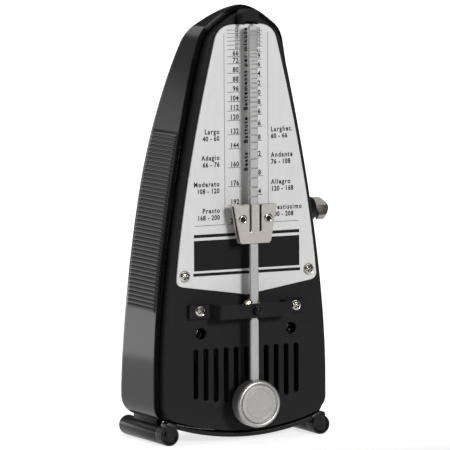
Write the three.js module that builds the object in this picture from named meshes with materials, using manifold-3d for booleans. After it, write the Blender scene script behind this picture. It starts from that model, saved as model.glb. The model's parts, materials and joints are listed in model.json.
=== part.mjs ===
// Wind-up pendulum metronome with a pyramid-like moulded case, a scale plate and a clockwork train.
// Millimetres, +Z up. Inside the group x = 0 is the pendulum's plane of symmetry, y = 0 is the front
// of the panel with +Y to the back, and z = 0 is the surface the feet rest on.
import * as THREE from 'three';
import { mergeVertices } from 'three/addons/utils/BufferGeometryUtils.js';
import Module from 'manifold-3d';

const wasm = await Module();
wasm.setup();

// ---- driving dimensions -----------------------------------------------------------------------
const HEIGHT = 160;
const CASE_HALF = 35.4;              // widest half width of the case
const WALL = 2;                      // case wall
const WALL_FRONT = 4.9;              // the side walls start this far behind the panel's face
const ROOF = { front: 3.2, from: 138, to: 152 };   // towards the roof the wall's edge comes forward
const CASE_CORNER = 4;               // radius of the rear vertical edges
const SHOULDER = { x: 17.7, z: 146 };
const BELLY = { x: 32.6, z: 9, low: 3 };       // curved lower edge: ends and lowest point
const BELLY_FRONT = 9.3;             // the case's own floor starts behind the panel's rim
const COLLAR_SIDE = 2.5;             // the panel tray sits this far inside the case's outline
const COLLAR_BELLY = 0.9;
const TRAY_WALL = 1.6;
const TRAY_DEPTH = 9;
const PANEL = 2.2;                   // panel thickness
const PLATE = { front: -0.85, back: -0.05 };
const CLEAR = 0.3;                   // running and assembly clearance
const TOUCH = 0.05;                  // pieces that rest on each other

const PIVOT_Z = 49;                  // pendulum axis, along Y at x = 0
const ROD = { half: 1.75, front: -6.9, back: -6.1, tip: 152.6, foot: 52, head: 45.6, neck: 1.1 };
const BOB = { r: 8.65, z: 14.7, front: -10.6, back: -4.6 };
const WEIGHT = { top: 87.6, bottom: 73.4, topHalf: 8.75, bottomHalf: 6.2, eyeX: 5.2, eyeZ: 82.4 };
const BRIDGE = { low: 46.1, high: 51.3, front: -8.4, back: -7.2, padHalf: 24, pad: -1.6 };
const BRIDGE_SCREW_X = 19.6;
const PLATE_SCREW = { x: 25.4, z: 61.9 };
const CASE_SCREW = { x: 18.5, z: 40.5 };
const STAFF_R = 0.9;
const STAFF_BACK = 24.5;

const FOOT = { x: 31.1, r: 3.65, front: 0.3, seam: 6, back: 37, sole: 0.12 };   // sole: flat below
// The base frame: a curved rim under the panel, z = low + bend x², and a bracket down to each foot.
const RIM = { low: 1.6, top: 3.2, bend: 0.0055, end: 27.4, back: 9 };
const BRACKET = { low: 3.5, shoulder: 8.2, corner: 8.9, inner: 27.6, outer: 32.8, back: 4.6 };
const CATCH = { low: 152.9, high: 158.4, half: 3.5, front: -5 };
const SLOTS = { count: 11, pitch: 4.12, half: 0.9, top: 34.85, low: 14.4, rise: 0.005 };

// The train stands in one vertical line at y = TRAIN_Y, all arbors along X.
const TRAIN_Y = 13.5;
const MODULE = 0.525;
const WHEEL_TEETH = 32;
const GREAT_TEETH = 40;
const PINION_TEETH = 8;
const pitchRadius = (teeth) => teeth * MODULE / 2;
const KEY_Z = PIVOT_Z + 2 * (pitchRadius(WHEEL_TEETH) + pitchRadius(PINION_TEETH))
  + pitchRadius(GREAT_TEETH) + pitchRadius(PINION_TEETH);
const SECOND_Z = KEY_Z - pitchRadius(GREAT_TEETH) - pitchRadius(PINION_TEETH);
const THIRD_Z = SECOND_Z - pitchRadius(WHEEL_TEETH) - pitchRadius(PINION_TEETH);
const PLATE_X = 14;                  // inner faces of the movement plates
const PLATE_THICK = 1.2;
const ARBOR_R = 0.9;
const KEY = { inner: 35.2, edge: 38.7, crown: 40.6, half: 4.3, thick: 4, turn: 46 };
const BUSH = { r: 4.4, inner: 26.5, outer: 34.4, bore: 1.6 };
const WINDING_R = 1.2;
const MOVEMENT_SCREW = { x: 17.4, z: 92 };
const RATCHET = { teeth: 24, r: 5, root: 4.3, x0: 15.6, x1: 16.8 };
const CLICK_PIVOT = { y: 7.7, z: 88.4 };
const PIVOT_HEAD = 2.4;
const PILLARS = {
  upper_front: [5.5, 94.3], upper_rear: [21.5, 94.3], lower_front: [5.5, 43], lower_rear: [21.5, 43],
};

const BOX_X = (KEY.crown - CASE_HALF) / 2;               // centre of the whole object's width
const BOX_Y = (FOOT.back + BRIDGE.front - PIVOT_HEAD) / 2;   // centre of the whole object's depth

// ---- finishes ---------------------------------------------------------------------------------
const FINISH = {
  glossBlack: [0x151517, 0.16, 0],
  mattBlack: [0x232324, 0.6, 0],
  silver: [0xc9cacb, 0.38, 0.8],
  nickel: [0xb9b7ad, 0.3, 0.95],
  steel: [0x9f9f99, 0.36, 0.95],
  keyMetal: [0x8f8b84, 0.34, 0.9],
  brass: [0xb08d45, 0.32, 0.95],
  blueSteel: [0x4a4f58, 0.3, 0.9],
};

const metronome = new THREE.Group();
metronome.name = 'metronome';
metronome.position.set(-BOX_X, -BOX_Y, 0);

function add(name, shape, finish, place = [0, 0, 0]) {
  const [color, roughness, metalness] = FINISH[finish];
  const geometry = shape instanceof wasm.Manifold ? geometryOf(shape) : shape;
  const mesh = new THREE.Mesh(geometry, new THREE.MeshStandardMaterial({ color, roughness, metalness }));
  mesh.name = name;
  mesh.position.set(...place);
  metronome.add(mesh);
  return mesh;
}

// ---- joining and cutting ----------------------------------------------------------------------
function solid(geometry) {
  const bare = geometry.index ? geometry.clone() : geometry;
  bare.deleteAttribute('normal');
  bare.deleteAttribute('uv');
  const merged = mergeVertices(bare, 1e-4);
  return new wasm.Manifold(new wasm.Mesh({
    numProp: 3,
    vertProperties: new Float32Array(merged.attributes.position.array),
    triVerts: new Uint32Array(merged.index.array),
  }));
}

function geometryOf(manifold) {
  const mesh = manifold.getMesh();
  const geometry = new THREE.BufferGeometry();
  geometry.setAttribute('position', new THREE.BufferAttribute(mesh.vertProperties, 3));
  geometry.setIndex(new THREE.BufferAttribute(mesh.triVerts, 1));
  geometry.computeVertexNormals();
  return geometry;
}

const join = (...parts) => parts.reduce((whole, part) => whole.add(part));
const cut = (whole, ...tools) => tools.reduce((rest, tool) => rest.subtract(tool), whole);

// ---- basic solids -----------------------------------------------------------------------------
function shapeOf(points) {
  return new THREE.Shape(points.map(([x, y]) => new THREE.Vector2(x, y)));
}

function extrude(shape, depth, curveSegments = 6) {
  const outline = Array.isArray(shape) ? shapeOf(shape) : shape;
  return new THREE.ExtrudeGeometry(outline, { depth, bevelEnabled: false, steps: 1, curveSegments });
}

// A shape drawn in (x, z), standing from y0 to y1.
function prismY(shape, y0, y1, curveSegments) {
  return solid(extrude(shape, y1 - y0, curveSegments).rotateX(Math.PI / 2).translate(0, y1, 0));
}

// A shape drawn in (y, z), standing from x0 to x1.
function prismX(shape, x0, x1, curveSegments) {
  const turn = new THREE.Matrix4().makeBasis(
    new THREE.Vector3(0, 1, 0), new THREE.Vector3(0, 0, 1), new THREE.Vector3(1, 0, 0));
  return solid(extrude(shape, x1 - x0, curveSegments).applyMatrix4(turn).translate(x0, 0, 0));
}

// A shape drawn in (x, y), standing from z0 to z1.
function prismZ(shape, z0, z1, curveSegments) {
  return solid(extrude(shape, z1 - z0, curveSegments).translate(0, 0, z0));
}

function rodY(r, y0, y1, x, z, sides = 16) {
  return solid(new THREE.CylinderGeometry(r, r, y1 - y0, sides).translate(x, (y0 + y1) / 2, z));
}

function rodX(r, x0, x1, y, z, sides = 16) {
  const bar = new THREE.CylinderGeometry(r, r, x1 - x0, sides).rotateZ(Math.PI / 2);
  return solid(bar.translate((x0 + x1) / 2, y, z));
}

function block(x0, x1, y0, y1, z0, z1) {
  const box = new THREE.BoxGeometry(x1 - x0, y1 - y0, z1 - z0);
  return solid(box.translate((x0 + x1) / 2, (y0 + y1) / 2, (z0 + z1) / 2));
}

// A profile of [radius, distance along -Y from the part's seat], turned about an axis along Y.
function turnedY(profile, sides = 20) {
  const points = profile.map(([r, along]) => new THREE.Vector2(r, along));
  return solid(new THREE.LatheGeometry(points, sides).rotateX(Math.PI));
}

// ---- the case's outline and depth -------------------------------------------------------------
const SIDE_CURVE = new THREE.QuadraticBezierCurve(
  new THREE.Vector2(CASE_HALF, 22), new THREE.Vector2(CASE_HALF, 69.3),
  new THREE.Vector2(SHOULDER.x, SHOULDER.z));
const SHOULDER_CURVE = new THREE.QuadraticBezierCurve(
  new THREE.Vector2(SHOULDER.x, SHOULDER.z), new THREE.Vector2(16.8, 150.8),
  new THREE.Vector2(12.4, 153.8));
const ROOF_CURVE = new THREE.QuadraticBezierCurve(
  new THREE.Vector2(12.4, 153.8), new THREE.Vector2(5, HEIGHT), new THREE.Vector2(0, HEIGHT));
const BACK_CURVE = new THREE.CubicBezierCurve(
  new THREE.Vector2(35.7, 18), new THREE.Vector2(33, 45),
  new THREE.Vector2(33.6, 75), new THREE.Vector2(32.5, 95));
const BACK_TOP_CURVE = new THREE.CubicBezierCurve(
  new THREE.Vector2(32.5, 95), new THREE.Vector2(31.8, 110),
  new THREE.Vector2(26, 145), new THREE.Vector2(10.7, 158));
const BACK_FOOT_CURVE = new THREE.QuadraticBezierCurve(
  new THREE.Vector2(30.9, 8), new THREE.Vector2(35.7, 9),
  new THREE.Vector2(35.7, 18));

// The curve's first coordinate where its second one is z. All these curves rise steadily.
function across(curve, z) {
  let low = 0;
  let high = 1;
  for (let step = 0; step < 30; step += 1) {
    const middle = (low + high) / 2;
    if (curve.getPoint(middle).y < z) low = middle;
    else high = middle;
  }
  return curve.getPoint(low).x;
}

function halfWidth(z) {
  if (z <= 22) return CASE_HALF;
  if (z <= SHOULDER.z) return across(SIDE_CURVE, z);
  if (z <= 153.8) return across(SHOULDER_CURVE, z);
  return across(ROOF_CURVE, Math.min(z, HEIGHT));
}

function backDepth(z) {
  if (z <= 8) return 30.9;
  if (z <= 18) return across(BACK_FOOT_CURVE, z);
  if (z <= 95) return across(BACK_CURVE, z);
  return z < 158 ? across(BACK_TOP_CURVE, z) : 10.7 - 1.4 * (z - 158);
}

// Front outline as points, counter-clockwise from the belly's left end.
function outlinePoints() {
  const belly = new THREE.QuadraticBezierCurve(
    new THREE.Vector2(-BELLY.x, BELLY.z), new THREE.Vector2(0, 2 * BELLY.low - BELLY.z),
    new THREE.Vector2(BELLY.x, BELLY.z));
  const corner = new THREE.QuadraticBezierCurve(
    new THREE.Vector2(BELLY.x, BELLY.z), new THREE.Vector2(35.2, 10.4),
    new THREE.Vector2(CASE_HALF, 14.5));
  const rising = [
    ...corner.getPoints(4).slice(1),
    ...SIDE_CURVE.getPoints(9),
    ...SHOULDER_CURVE.getPoints(4).slice(1),
    ...ROOF_CURVE.getPoints(5).slice(1),
  ];
  const mirrored = rising.slice(0, -1).reverse().map((p) => new THREE.Vector2(-p.x, p.y));
  return [...belly.getPoints(12), ...rising, ...mirrored];
}

// The outline moved inwards, by side on the flanks and roof and by belly along the lower edge.
function insetOutline(side, belly = side) {
  const points = outlinePoints();
  const moved = points.map((point, i) => {
    const before = points[(i + points.length - 1) % points.length];
    const after = points[(i + 1) % points.length];
    const inward = new THREE.Vector2(before.y - after.y, after.x - before.x).normalize();
    return point.clone().addScaledVector(inward, inward.y > 0.7 ? belly : side);
  });
  return new THREE.Shape(moved);
}

// One level of the rear body: a U with round rear corners, closed along its front line.
function bodySection(z, inset, front) {
  const half = Math.max(halfWidth(z) - inset, 0.6);
  const deep = Math.max(backDepth(z) - inset, front + 1);
  const r = Math.min(CASE_CORNER - inset / 2, half * 0.9, (deep - front) * 0.9);
  const right = [[half, front], [half, (front + deep - r) / 2]];
  for (let i = 0; i <= 4; i += 1) {
    const angle = (i / 4) * Math.PI / 2;
    right.push([half - r + r * Math.cos(angle), deep - r + r * Math.sin(angle)]);
  }
  const left = right.map(([x, y]) => [-x, y]).reverse();
  return [...right, ...left].map(([x, y]) => new THREE.Vector3(x, y, z));
}

// A closed skin over rings of equally many points, listed counter-clockwise from below upwards.
function loft(rings) {
  const count = rings[0].length;
  const position = rings.flat().flatMap((p) => [p.x, p.y, p.z]);
  const index = [];
  for (let level = 0; level + 1 < rings.length; level += 1) {
    for (let i = 0; i < count; i += 1) {
      const a = level * count + i;
      const b = level * count + (i + 1) % count;
      index.push(a, b, b + count, a, b + count, a + count);
    }
  }
  const top = (rings.length - 1) * count;
  for (let i = 1; i + 1 < count; i += 1) {
    index.push(0, i + 1, i);
    index.push(top, top + i, top + i + 1);
  }
  const geometry = new THREE.BufferGeometry();
  geometry.setAttribute('position', new THREE.Float32BufferAttribute(position, 3));
  geometry.setIndex(index);
  return solid(geometry);
}

function bodyLoft(inset, front) {
  const levels = [0, 8, 10, 13, 18];
  for (let z = 28; z <= 140; z += 14) levels.push(z);
  levels.push(144, 149, 153, 156, 158, 159.8);
  return loft(levels.map((z) => bodySection(z, inset, front)));
}

// ---- case -------------------------------------------------------------------------------------
function rearHousing() {
  const outer = bodyLoft(0, ROOF.front).intersect(prismY(insetOutline(0), ROOF.front, 40));
  const edge = prismX([[0, -1], [WALL_FRONT, -1], [WALL_FRONT, ROOF.from], [ROOF.front, ROOF.to],
    [0, ROOF.to]], -40, 40);
  const mouth = prismY(insetOutline(WALL, -BELLY.low), 0, BELLY_FRONT);
  const hollow = bodyLoft(WALL, 0).intersect(prismY(insetOutline(WALL), 0, 40));
  const posts = [-1, 1].map((side) =>
    cut(rodY(3, 5.4, 32.5, side * CASE_SCREW.x, CASE_SCREW.z, 12),
      rodY(1.1, 5, 15.5, side * CASE_SCREW.x, CASE_SCREW.z, 8)));
  const keyHole = rodX(BUSH.r + CLEAR, 20, 40, TRAIN_Y, KEY_Z, 20);
  return cut(join(cut(outer, hollow, mouth, edge), ...posts), keyHole);
}

function slotShape(x) {
  const low = SLOTS.low + SLOTS.rise * x * x;
  const shape = new THREE.Shape();
  shape.moveTo(x + SLOTS.half, low + SLOTS.half);
  shape.absarc(x, SLOTS.top - SLOTS.half, SLOTS.half, 0, Math.PI, false);
  shape.absarc(x, low + SLOTS.half, SLOTS.half, Math.PI, 2 * Math.PI, false);
  return shape;
}

function frontPanel() {
  const tray = cut(
    prismY(insetOutline(COLLAR_SIDE, COLLAR_BELLY), 0, TRAY_DEPTH),
    prismY(insetOutline(COLLAR_SIDE + TRAY_WALL, COLLAR_BELLY + TRAY_WALL), PANEL, TRAY_DEPTH + 1));
  const cuts = [rodY(4.2, -1, 3, 0, PIVOT_Z, 20)];
  const bosses = [];
  for (const side of [-1, 1]) {
    bosses.push(rodY(3, PANEL - 0.2, 5.2, side * CASE_SCREW.x, CASE_SCREW.z, 16));
    cuts.push(rodY(2.1, -1, 3.6, side * CASE_SCREW.x, CASE_SCREW.z, 16));
    cuts.push(rodY(1.2, -1, 6, side * CASE_SCREW.x, CASE_SCREW.z, 8));
    cuts.push(rodY(1.1, -1, 3, side * PLATE_SCREW.x, PLATE_SCREW.z, 10));
    cuts.push(rodY(1.1, -1, 3, side * BRIDGE_SCREW_X, PIVOT_Z, 10));
    cuts.push(rodY(1.1, 0.5, 3, side * MOVEMENT_SCREW.x, MOVEMENT_SCREW.z, 10));
  }
  for (let i = 0; i < SLOTS.count; i += 1) {
    const x = (i - (SLOTS.count - 1) / 2) * SLOTS.pitch;
    cuts.push(prismY(slotShape(x), -1, 3, 4));
  }
  return cut(join(tray, ...bosses), ...cuts);
}

function scalePlateShape() {
  const shape = new THREE.Shape();
  shape.moveTo(0, 54);
  shape.lineTo(26, 58);
  shape.quadraticCurveTo(28.9, 58.5, 28.6, 61);
  shape.quadraticCurveTo(25.1, 98, 12.45, 148);
  shape.quadraticCurveTo(10.6, 152.9, 4.8, 152.9);
  shape.lineTo(-4.8, 152.9);
  shape.quadraticCurveTo(-10.6, 152.9, -12.45, 148);
  shape.quadraticCurveTo(-25.1, 98, -28.6, 61);
  shape.quadraticCurveTo(-28.9, 58.5, -26, 58);
  return shape;
}

function scalePlate() {
  const plate = prismY(scalePlateShape(), PLATE.front, PLATE.back, 8);
  const holes = [-1, 1].map((side) => rodY(1.1, -2, 1, side * PLATE_SCREW.x, PLATE_SCREW.z, 10));
  return cut(plate, ...holes);
}

// A domed cross-slot screw whose head rests on the plane y = 0 and whose shank runs to +Y.
function domedScrew(headR, headH, shankR, shankL, sides = 12) {
  const body = turnedY([[0, -shankL], [shankR, -shankL], [shankR, 0], [headR, 0],
    [headR, headH * 0.35], [headR * 0.72, headH * 0.85], [0, headH]], sides);
  const slot = headR * 0.62;
  const deep = -headH * 0.45;
  return cut(body, block(-slot, slot, -headH - 1, deep, -0.28, 0.28),
    block(-0.28, 0.28, -headH - 1, deep, -slot, slot));
}

function foot(side) {
  const bar = rodY(FOOT.r, FOOT.seam + TOUCH, FOOT.back, 0, FOOT.r, 24);
  const neck = block(-1.3, 1.3, WALL_FRONT + 4, FOOT.back - 6, FOOT.r, FOOT.r + 8);
  const sole = block(-FOOT.r, FOOT.r, 0, FOOT.back + 1, -1, FOOT.sole);
  const housing = prismY(insetOutline(-CLEAR), 0, 40).translate(-side * FOOT.x, 0, 0);
  const recess = rodY(2.5, FOOT.back - 0.7, FOOT.back + 1, 0, FOOT.r, 16);
  return cut(join(bar, neck), housing, sole, recess);
}

function rimHeight(x, base) {
  return base + RIM.bend * x * x;
}

function baseFrame() {
  const lower = [];
  const upper = [];
  for (let i = 0; i <= 16; i += 1) {
    const x = RIM.end * (i / 8 - 1);
    lower.push([x, rimHeight(x, RIM.low)]);
    upper.push([x, rimHeight(x, RIM.top)]);
  }
  const rim = prismY([...lower, ...upper.reverse()], FOOT.front, RIM.back);
  const { low, shoulder, corner, inner, outer, back } = BRACKET;
  const soles = [];
  const parts = [];
  for (const side of [-1, 1]) {
    const web = [[inner, low], [outer, low], [outer, shoulder], [FOOT.x, corner],
      [inner - 0.8, rimHeight(inner - 0.8, RIM.top)], [inner + 0.8, rimHeight(inner + 0.8, RIM.low)]];
    const outline = side > 0 ? web : web.map(([x, z]) => [-x, z]).reverse();
    parts.push(prismY(outline, FOOT.front, back));
    parts.push(rodY(FOOT.r, FOOT.front, FOOT.seam, side * FOOT.x, FOOT.r, 24));
    soles.push(rodY(2.6, FOOT.front - 1, FOOT.front + 0.7, side * FOOT.x, FOOT.r, 16));
    soles.push(block(side * FOOT.x - 4, side * FOOT.x + 4, -1, RIM.back, -1, FOOT.sole));
  }
  return cut(join(rim, ...parts), ...soles);
}

function pendulumCatch() {
  const { low, high, half, front } = CATCH;
  const shape = new THREE.Shape();
  shape.moveTo(-half, low);
  shape.lineTo(half, low);
  shape.lineTo(half, high - 1.8);
  shape.quadraticCurveTo(half - 0.6, high, 0, high);
  shape.quadraticCurveTo(-half + 0.6, high, -half, high - 1.8);
  const mouth = block(-ROD.half - 0.5, ROD.half + 0.5, front - 1, front + 1.5, low - 1, low + 1.2);
  return cut(prismY(shape, front, -TOUCH, 4), mouth);
}

// ---- pendulum ---------------------------------------------------------------------------------
function bridge() {
  const strap = [[-BRIDGE.padHalf, -TOUCH], [-BRIDGE.padHalf, BRIDGE.pad], [-15.7, BRIDGE.pad],
    [-14.7, BRIDGE.front], [14.7, BRIDGE.front], [15.7, BRIDGE.pad], [BRIDGE.padHalf, BRIDGE.pad],
    [BRIDGE.padHalf, -TOUCH], [14.3, -TOUCH], [13.4, BRIDGE.back], [-13.4, BRIDGE.back],
    [-14.3, -TOUCH]];
  const body = prismZ(strap, BRIDGE.low, BRIDGE.high);
  return cut(body, rodY(1.3, -10, -6, 0, PIVOT_Z, 12),
    rodY(1.1, -3, 1, -BRIDGE_SCREW_X, PIVOT_Z, 10), rodY(1.1, -3, 1, BRIDGE_SCREW_X, PIVOT_Z, 10));
}

function bob() {
  const thick = BOB.back - BOB.front;
  const disc = turnedY([[0, 0], [BOB.r - 0.7, 0], [BOB.r, 0.7], [BOB.r, thick - 0.8],
    [BOB.r - 0.35, thick - 0.2], [BOB.r - 0.9, thick], [7.1, thick], [6.8, thick - 0.35],
    [6.5, thick], [0, thick]], 32).translate(0, BOB.back, BOB.z);
  return cut(disc, block(-2.05, 2.05, ROD.front - CLEAR, ROD.back + CLEAR, 15, 30));
}

// A flat strip from z0 to z1 with rounded corners at its lower end.
function rodShape(z0, z1) {
  const shape = new THREE.Shape();
  shape.moveTo(-ROD.half, z0 + 0.7);
  shape.quadraticCurveTo(-ROD.half, z0, -ROD.half + 0.7, z0);
  shape.lineTo(ROD.half - 0.7, z0);
  shape.quadraticCurveTo(ROD.half, z0, ROD.half, z0 + 0.7);
  shape.lineTo(ROD.half, z1 - 0.5);
  shape.lineTo(ROD.half - 0.5, z1);
  shape.lineTo(-ROD.half + 0.5, z1);
  shape.lineTo(-ROD.half, z1 - 0.5);
  return shape;
}

// Each rod narrows to a neck where it passes under the bridge.
function rodStrip(z0, z1, neck0, neck1) {
  const neck = block(-ROD.neck, ROD.neck, ROD.front, ROD.back, neck0, neck1);
  return join(prismY(rodShape(z0, z1), ROD.front, ROD.back, 3), neck);
}

function weightPlate(front, back, slit) {
  const { top, bottom, topHalf, bottomHalf, eyeX, eyeZ } = WEIGHT;
  const outline = [[-bottomHalf + 0.8, bottom], [bottomHalf - 0.8, bottom], [bottomHalf, bottom + 0.8],
    [topHalf, top - 0.7], [topHalf - 0.7, top], [-topHalf + 0.7, top], [-topHalf, top - 0.7],
    [-bottomHalf, bottom + 0.8]];
  const tools = [-1, 1].map((side) => rodY(1.4, front - 1, back + 1, side * eyeX, eyeZ, 12));
  if (slit) {
    for (const side of [-1, 1]) {
      tools.push(block(side * 2 - 0.35, side * 2 + 0.35, front - 1, back + 1, top - 10, top + 1));
    }
  }
  return cut(prismY(outline, front, back), ...tools);
}

function eyelet() {
  return turnedY([[0.65, 0], [1.75, 0], [1.75, 0.35], [1.1, 0.35], [1.1, 1.3], [1.75, 1.3],
    [1.75, 2.5], [1.1, 2.5], [1.1, 3.5], [1.75, 3.5], [1.75, 3.85], [0.65, 3.85], [0.65, 0]], 12);
}

function pallet(y, angle) {
  const ring = cut(rodY(2, y - 1, y + 1, 0, 0, 12), rodY(STAFF_R + CLEAR, y - 2, y + 2, 0, 0, 12));
  const flag = block(1.6, 2.4, y - 1, y + 1, -0.25, 0.25).rotate([0, angle, 0]);
  return join(ring, flag).translate(0, 0, PIVOT_Z);
}

// ---- movement ---------------------------------------------------------------------------------
// A spur wheel drawn about the origin; one tooth points along its first axis after the phase.
function toothedShape(teeth, phase = 0, addendum = 0.42, dedendum = 0.62, thin = 0.42) {
  const r = pitchRadius(teeth);
  const pitch = 2 * Math.PI / teeth;
  const points = [];
  for (let i = 0; i < teeth; i += 1) {
    const middle = phase + i * pitch;
    const corners = [[r - dedendum, -0.62 * thin], [r + addendum, -0.22 * thin],
      [r + addendum, 0.22 * thin], [r - dedendum, 0.62 * thin]];
    for (const [radius, part] of corners) {
      const angle = middle + part * pitch;
      points.push([radius * Math.cos(angle), radius * Math.sin(angle)]);
    }
  }
  return shapeOf(points);
}

function wheel(teeth, x0, x1, z) {
  const disc = prismX(toothedShape(teeth), x0, x1);
  const bore = rodX(ARBOR_R + CLEAR, x0 - 1, x1 + 1, 0, 0, 10);
  const windows = [0, 1, 2, 3].map((i) => {
    const angle = (i + 0.5) * Math.PI / 2;
    return rodX(2.1, x0 - 1, x1 + 1, 5 * Math.cos(angle), 5 * Math.sin(angle), 10);
  });
  return cut(disc, bore, ...windows).translate(0, TRAIN_Y, z);
}

function pinionArbor(pinionX0, pinionX1, x0, x1, z) {
  const halfTooth = Math.PI / PINION_TEETH;
  const leaves = prismX(toothedShape(PINION_TEETH, halfTooth, 0.4, 0.62, 0.36), pinionX0, pinionX1);
  return join(leaves, rodX(ARBOR_R, x0, x1, 0, 0, 10)).translate(0, TRAIN_Y, z);
}

function barrel() {
  const drum = cut(rodX(9.2, -3.4, 9.2, 0, 0, 32), rodX(8.6, -4, 8.4, 0, 0, 32));
  const teeth = prismX(toothedShape(GREAT_TEETH), 9, 10.6);
  return cut(join(drum, teeth), rodX(WINDING_R + CLEAR, 5, 12, 0, 0, 12));
}

function mainspring() {
  const turns = 5;
  const steps = 12;
  const outer = [];
  const inner = [];
  for (let i = 0; i <= turns * steps; i += 1) {
    const angle = (i / steps) * 2 * Math.PI;
    const r = 2.5 + 5.5 * (i / (turns * steps));
    outer.push([(r + 0.2) * Math.cos(angle), (r + 0.2) * Math.sin(angle)]);
    inner.push([(r - 0.2) * Math.cos(angle), (r - 0.2) * Math.sin(angle)]);
  }
  return prismX([...outer, ...inner.reverse()], -2.5, 8);
}

function crownWheel() {
  const rim = cut(rodX(7, 3.6, 4.3, 0, 0, 30), rodX(ARBOR_R + CLEAR, 3, 5, 0, 0, 10));
  const teeth = [];
  for (let i = 0; i < 15; i += 1) {
    const tooth = prismX([[5.9, -0.5], [6.8, -0.5], [6.8, 0.5], [5.9, 0.5]], 2.9, 3.7);
    teeth.push(tooth.rotate([i * 24, 0, 0]));
  }
  return join(rim, ...teeth).translate(0, TRAIN_Y, PIVOT_Z);
}

function movementPlate(side) {
  const inner = side * PLATE_X;
  const outer = side * (PLATE_X + PLATE_THICK);
  const [x0, x1] = side > 0 ? [inner, outer] : [outer, inner];
  const sheet = block(x0, x1, 3.2, 24.5, 40.5, 97);
  const [f0, f1] = side > 0 ? [x1 - 0.5, 19.6] : [-19.6, x0 + 0.5];
  const flange = cut(block(f0, f1, 3.2, 4.2, 88, 96),
    rodY(1.1, 2, 6, side * MOVEMENT_SCREW.x, MOVEMENT_SCREW.z, 10));
  const holes = [SECOND_Z, THIRD_Z].map((z) => rodX(ARBOR_R + CLEAR, x0 - 1, x1 + 1, TRAIN_Y, z, 10));
  holes.push(rodX(WINDING_R + CLEAR, x0 - 1, x1 + 1, TRAIN_Y, KEY_Z, 12));
  if (side > 0) {
    holes.push(rodX(ARBOR_R + CLEAR, x0 - 1, x1 + 1, TRAIN_Y, PIVOT_Z, 10));
    holes.push(rodX(0.9, x0 - 1, x1 + 1, CLICK_PIVOT.y, CLICK_PIVOT.z, 10));
  }
  return cut(join(sheet, flange), ...holes);
}

// The bearing behind the pendulum staff, held by the left plate.
function rearCock() {
  return cut(block(-PLATE_X + TOUCH, 3, 22, 23.5, 45.6, 53),
    rodY(STAFF_R + CLEAR, 21, 25, 0, PIVOT_Z, 12));
}

// The angle piece that carries the escape arbor's inner end, held by the right plate.
function potence() {
  const post = block(1.3, 2.3, 12.2, 14.8, 40.8, 51);
  const arm = block(2.2, PLATE_X - TOUCH, 12.2, 14.8, 40.8, 41.8);
  return cut(join(post, arm), rodX(ARBOR_R + 0.1, 1, 3, TRAIN_Y, PIVOT_Z, 10));
}

function ratchetWheel() {
  const points = [];
  for (let i = 0; i < RATCHET.teeth; i += 1) {
    const start = (i / RATCHET.teeth) * 2 * Math.PI;
    const end = ((i + 0.98) / RATCHET.teeth) * 2 * Math.PI;
    points.push([RATCHET.root * Math.cos(start), RATCHET.root * Math.sin(start)]);
    points.push([RATCHET.r * Math.cos(end), RATCHET.r * Math.sin(end)]);
  }
  return cut(prismX(points, RATCHET.x0, RATCHET.x1), rodX(WINDING_R + CLEAR, 15, 18, 0, 0, 12));
}

function clickLever() {
  const tip = (r, degrees) => {
    const angle = degrees * Math.PI / 180;
    return [TRAIN_Y + r * Math.cos(angle), KEY_Z + r * Math.sin(angle)];
  };
  const lever = [tip(4.65, 91.5), tip(6, 91.5), [7.7, 90], [6.3, 89.2], [6.3, 87.7], [8.2, 86.95],
    tip(5.35, 101)];
  return cut(prismX(lever, RATCHET.x0, RATCHET.x1),
    rodX(0.9, 15, 18, CLICK_PIVOT.y, CLICK_PIVOT.z, 10));
}

function windingKey() {
  const shape = new THREE.Shape();
  shape.moveTo(-KEY.half, KEY.inner);
  shape.lineTo(KEY.half, KEY.inner);
  shape.lineTo(KEY.half, KEY.edge - 1.6);
  shape.quadraticCurveTo(KEY.half - 0.1, KEY.edge + 0.2, KEY.half - 1.8, KEY.edge + 0.6);
  shape.quadraticCurveTo(0, 2 * KEY.crown - KEY.edge - 0.6, -KEY.half + 1.8, KEY.edge + 0.6);
  shape.quadraticCurveTo(-KEY.half + 0.1, KEY.edge + 0.2, -KEY.half, KEY.edge - 1.6);
  // drawn in (width, x), so the blade's thickness is extruded along the third axis
  const blade = extrude(shape, KEY.thick, 6);
  const turn = new THREE.Matrix4().makeBasis(
    new THREE.Vector3(0, 1, 0), new THREE.Vector3(1, 0, 0), new THREE.Vector3(0, 0, -1));
  blade.applyMatrix4(turn).translate(0, 0, KEY.thick / 2);
  blade.rotateX(KEY.turn * Math.PI / 180);
  return cut(solid(blade), rodX(WINDING_R + CLEAR, KEY.inner - 1, 37.2, 0, 0, 12));
}

// ---- assembly ---------------------------------------------------------------------------------
add('rear_housing', rearHousing(), 'glossBlack');
add('front_panel', frontPanel(), 'mattBlack');
add('scale_plate', scalePlate(), 'silver');
add('pendulum_catch', pendulumCatch(), 'mattBlack');
add('pendulum_bridge', bridge(), 'mattBlack');
add('bridge_pivot_screw', turnedY([[0, -1.1], [1, -1.1], [1, 0], [1.6, 0], [1.6, 1.4], [1.1, 2.2],
  [0, PIVOT_HEAD]], 14), 'glossBlack', [0, BRIDGE.front - TOUCH, PIVOT_Z]);
add('base_frame', baseFrame(), 'glossBlack', [0, 0, -FOOT.sole]);

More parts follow.
